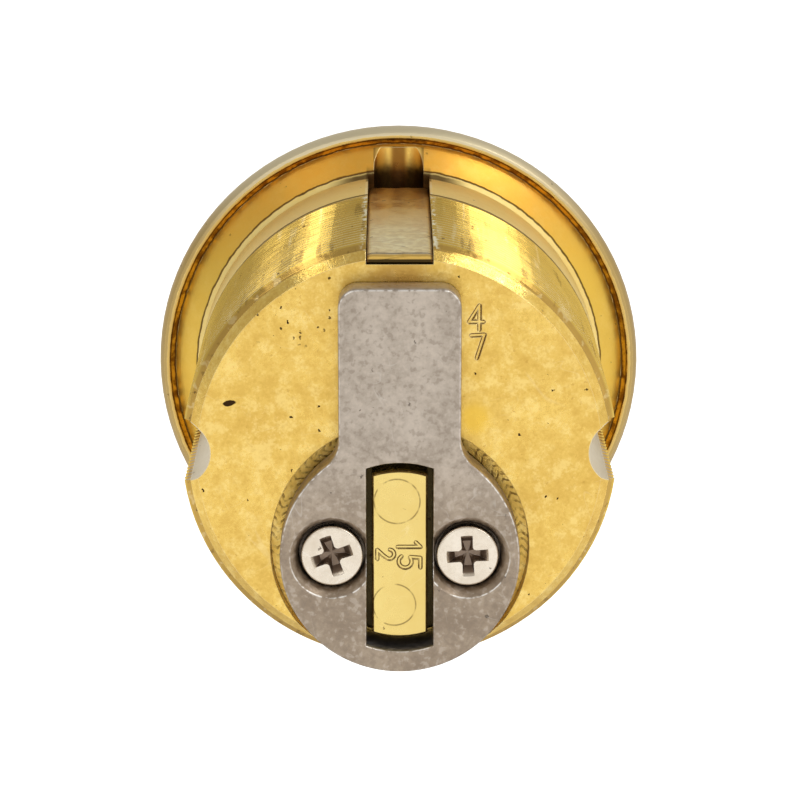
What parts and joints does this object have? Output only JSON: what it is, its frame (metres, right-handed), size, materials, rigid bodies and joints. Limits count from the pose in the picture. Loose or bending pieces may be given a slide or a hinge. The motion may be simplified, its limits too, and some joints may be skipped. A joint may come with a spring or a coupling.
{
  "type": "mortise cylinder",
  "caption": "Mortise lock cylinder: threaded round shell with a rimmed head, key plug with pin stacks behind a covered slot, and a cam with a finger screwed on the plug's tongue.",
  "frame": {"origin": "on the shell's axis, in the plane of the head's seat, the flat ring that meets the door furniture", "axes": "+Y along the shell's axis towards the key side, +Z from the plug towards the pin springs (the cam's finger points to +Z at rest), +X to the right seen from the cam end"},
  "size_m": [0.0356, 0.0309, 0.0356],
  "materials": {
    "brass": "bare turned",
    "satin_nickel": "satin plated",
    "cam_steel": "tumbled grey",
    "screw_nickel": "nickel plated",
    "pin_nickel_silver": "turned nickel silver",
    "spring_steel": "bright drawn wire"
  },
  "bodies": {
    "shell": {"shell": "brass", "chamber_cover": "satin_nickel", "spring_1": "spring_steel", "spring_2": "spring_steel", "spring_3": "spring_steel", "spring_4": "spring_steel", "spring_5": "spring_steel"},
    "plug": {"plug": "brass", "cam": "cam_steel", "cam_screw_left": "screw_nickel", "cam_screw_right": "screw_nickel"},
    "bottom_pin_1": {"bottom_pin_1": "brass"},
    "driver_1": {"driver_pin_1": "pin_nickel_silver"},
    "bottom_pin_2": {"bottom_pin_2": "brass"},
    "driver_2": {"driver_pin_2": "pin_nickel_silver"},
    "bottom_pin_3": {"bottom_pin_3": "brass"},
    "driver_3": {"driver_pin_3": "pin_nickel_silver"},
    "bottom_pin_4": {"bottom_pin_4": "brass"},
    "driver_4": {"driver_pin_4": "pin_nickel_silver"},
    "bottom_pin_5": {"bottom_pin_5": "brass"},
    "driver_5": {"driver_pin_5": "pin_nickel_silver"}
  },
  "joints": [
    {"name": "plug_turn", "type": "hinge", "parent": "shell", "child": "plug", "pos_m": [0, 0, -0.00635], "axis": [0, 1, 0], "continuous": true},
    {"name": "bottom_pin_1_slide", "type": "slide", "parent": "plug", "child": "bottom_pin_1", "axis": [0, 0, 1], "range_m": [-0.00279, 0]},
    {"name": "bottom_pin_2_slide", "type": "slide", "parent": "plug", "child": "bottom_pin_2", "axis": [0, 0, 1], "range_m": [-0.00203, 0]},
    {"name": "bottom_pin_3_slide", "type": "slide", "parent": "plug", "child": "bottom_pin_3", "axis": [0, 0, 1], "range_m": [-0.00317, 0]},
    {"name": "bottom_pin_4_slide", "type": "slide", "parent": "plug", "child": "bottom_pin_4", "axis": [0, 0, 1], "range_m": [-0.00164, 0]},
    {"name": "bottom_pin_5_slide", "type": "slide", "parent": "plug", "child": "bottom_pin_5", "axis": [0, 0, 1], "range_m": [-0.00241, 0]},
    {"name": "driver_1_slide", "type": "slide", "parent": "shell", "child": "driver_1", "axis": [0, 0, 1], "range_m": [0, 0.0055], "stiffness_N_per_m": 120, "springref_m": -0.004, "deforming": ["spring_1"]},
    {"name": "driver_2_slide", "type": "slide", "parent": "shell", "child": "driver_2", "axis": [0, 0, 1], "range_m": [0, 0.0055], "stiffness_N_per_m": 120, "springref_m": -0.004, "deforming": ["spring_2"]},
    {"name": "driver_3_slide", "type": "slide", "parent": "shell", "child": "driver_3", "axis": [0, 0, 1], "range_m": [0, 0.0055], "stiffness_N_per_m": 120, "springref_m": -0.004, "deforming": ["spring_3"]},
    {"name": "driver_4_slide", "type": "slide", "parent": "shell", "child": "driver_4", "axis": [0, 0, 1], "range_m": [0, 0.0055], "stiffness_N_per_m": 120, "springref_m": -0.004, "deforming": ["spring_4"]},
    {"name": "driver_5_slide", "type": "slide", "parent": "shell", "child": "driver_5", "axis": [0, 0, 1], "range_m": [0, 0.0055], "stiffness_N_per_m": 120, "springref_m": -0.004, "deforming": ["spring_5"]}
  ]
}
